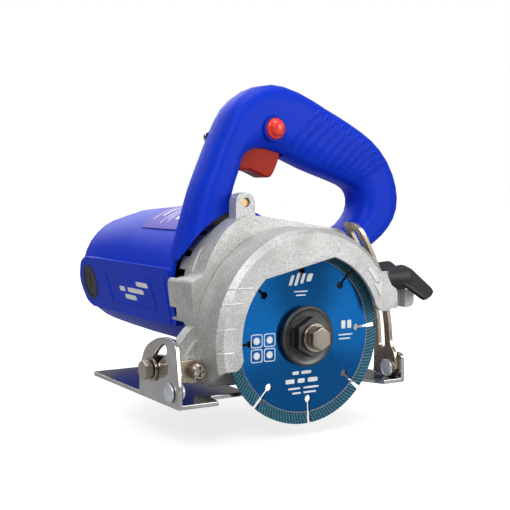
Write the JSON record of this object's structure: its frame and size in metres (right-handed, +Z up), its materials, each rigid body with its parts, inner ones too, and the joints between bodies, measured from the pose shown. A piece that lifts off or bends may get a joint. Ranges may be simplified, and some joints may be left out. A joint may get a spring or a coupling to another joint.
{
  "type": "wet tile saw",
  "caption": "Hand-held tile and stone saw: diamond blade under a half guard, gear case, motor, D handle with trigger, and a base plate that sets depth and bevel.",
  "frame": {"origin": "centre of the base plate's sole, on its underside", "axes": "-X is the cutting direction (front), -Y the blade side, +Y along the motor to its rear end, +Z up from the sole; the blade hangs 18.5 mm below the sole at rest"},
  "size_m": [0.1947, 0.2295, 0.2031],
  "materials": {
    "blue_plastic": "fine textured nylon, royal blue",
    "red_plastic": "smooth signal red",
    "dark_red_plastic": "smooth brick red",
    "black_plastic": "fine textured black",
    "black_rubber": "matt",
    "label": "thin printed film",
    "cast_aluminium": "sand-textured die casting with bright worn edges",
    "chromed_steel": "bright plated sheet",
    "yellow_zinc_steel": "pale yellow zinc plate",
    "zinc_steel": "bright zinc plate",
    "machined_steel": "turned and ground",
    "lamination_steel": "varnished laminations",
    "black_steel": "black oxide",
    "blade_steel": "blue lacquered core with a sintered diamond rim",
    "copper": "enamelled winding wire and copper bars",
    "bronze": "sintered bronze and pressed brass",
    "carbon": "pressed carbon"
  },
  "bodies": {
    "base": {"base_plate": "chromed_steel", "front_pivot_rivet": "zinc_steel", "rear_pivot_rivet": "zinc_steel"},
    "bevel_frame": {"bevel_bracket": "yellow_zinc_steel", "bevel_clamp_bolt": "zinc_steel", "bevel_washer": "zinc_steel", "bevel_nut": "zinc_steel", "depth_pivot_screw": "zinc_steel", "depth_arm": "yellow_zinc_steel"},
    "saw_body": {"gear_housing": "cast_aluminium", "blade_guard": "cast_aluminium", "guard_screw_1": "zinc_steel", "guard_screw_2": "zinc_steel", "guard_screw_3": "zinc_steel", "guard_screw_4": "zinc_steel", "motor_shell": "blue_plastic", "fan_baffle": "black_plastic", "rating_label": "label", "stator_core": "lamination_steel", "upper_field_coil": "copper", "lower_field_coil": "copper", "front_brush_cap": "black_plastic", "rear_brush_cap": "black_plastic", "front_brush_holder": "bronze", "rear_brush_holder": "bronze", "front_carbon_brush": "carbon", "rear_carbon_brush": "carbon", "front_motor_bearing": "machined_steel", "rear_motor_bearing": "machined_steel", "spindle_bearing": "machined_steel", "spindle_bush": "bronze", "handle_near_half": "blue_plastic", "handle_far_half": "blue_plastic", "handle_screw_1": "zinc_steel", "handle_screw_2": "zinc_steel", "handle_screw_3": "zinc_steel", "handle_screw_4": "zinc_steel", "handle_front_screw": "bronze", "cord_inlet": "black_rubber", "trigger_pin": "machined_steel", "button_bezel": "blue_plastic", "switch_body": "black_plastic", "depth_clamp_bolt": "zinc_steel", "clamp_shoe": "zinc_steel"},
    "blade_spindle": {"blade": "blade_steel", "outer_flange": "black_steel", "blade_washer": "zinc_steel", "blade_bolt": "zinc_steel", "inner_flange": "black_steel", "spindle": "machined_steel", "spindle_gear": "machined_steel"},
    "armature": {"armature_pinion": "machined_steel", "armature_shaft": "machined_steel", "armature_core": "lamination_steel", "armature_windings": "copper", "commutator": "copper", "cooling_fan": "black_plastic"},
    "trigger": {"trigger": "dark_red_plastic"},
    "lock_button": {"lock_button": "red_plastic"},
    "clamp_lever": {"clamp_lever": "black_plastic"}
  },
  "joints": [
    {"name": "bevel_tilt", "type": "hinge", "parent": "base", "child": "bevel_frame", "pos_m": [0, -0.051, 0.008], "axis": [1, 0, 0], "range_deg": [0, 45]},
    {"name": "depth_swing", "type": "hinge", "parent": "bevel_frame", "child": "saw_body", "pos_m": [-0.0614, -0.045, 0.0182], "axis": [0, 1, 0], "range_deg": [-11, 6.5]},
    {"name": "armature_spin", "type": "hinge", "parent": "saw_body", "child": "armature", "pos_m": [-0.0114, 0, 0.05448], "axis": [0, 1, 0], "continuous": true},
    {"name": "blade_spin", "type": "hinge", "parent": "saw_body", "child": "blade_spindle", "pos_m": [0.0071, -0.056, 0.034], "axis": [0, 1, 0], "continuous": true},
    {"name": "trigger_pull", "type": "hinge", "parent": "saw_body", "child": "trigger", "pos_m": [-0.0104, -0.008, 0.1485], "axis": [0, -1, 0], "range_deg": [0, 7], "stiffness_Nm_per_rad": 0.6, "springref_deg": -14.32},
    {"name": "lock_push", "type": "slide", "parent": "saw_body", "child": "lock_button", "axis": [0, 1, 0], "range_m": [0, 0.003], "stiffness_N_per_m": 400, "springref_m": -0.002},
    {"name": "lever_turn", "type": "hinge", "parent": "saw_body", "child": "clamp_lever", "pos_m": [0.08, -0.045, 0.064], "axis": [-1, 0, 0], "range_deg": [0, 55]}
  ],
  "couplings": [
    {"joint": "blade_spin", "follows": "armature_spin", "ratio": -0.33333}
  ]
}
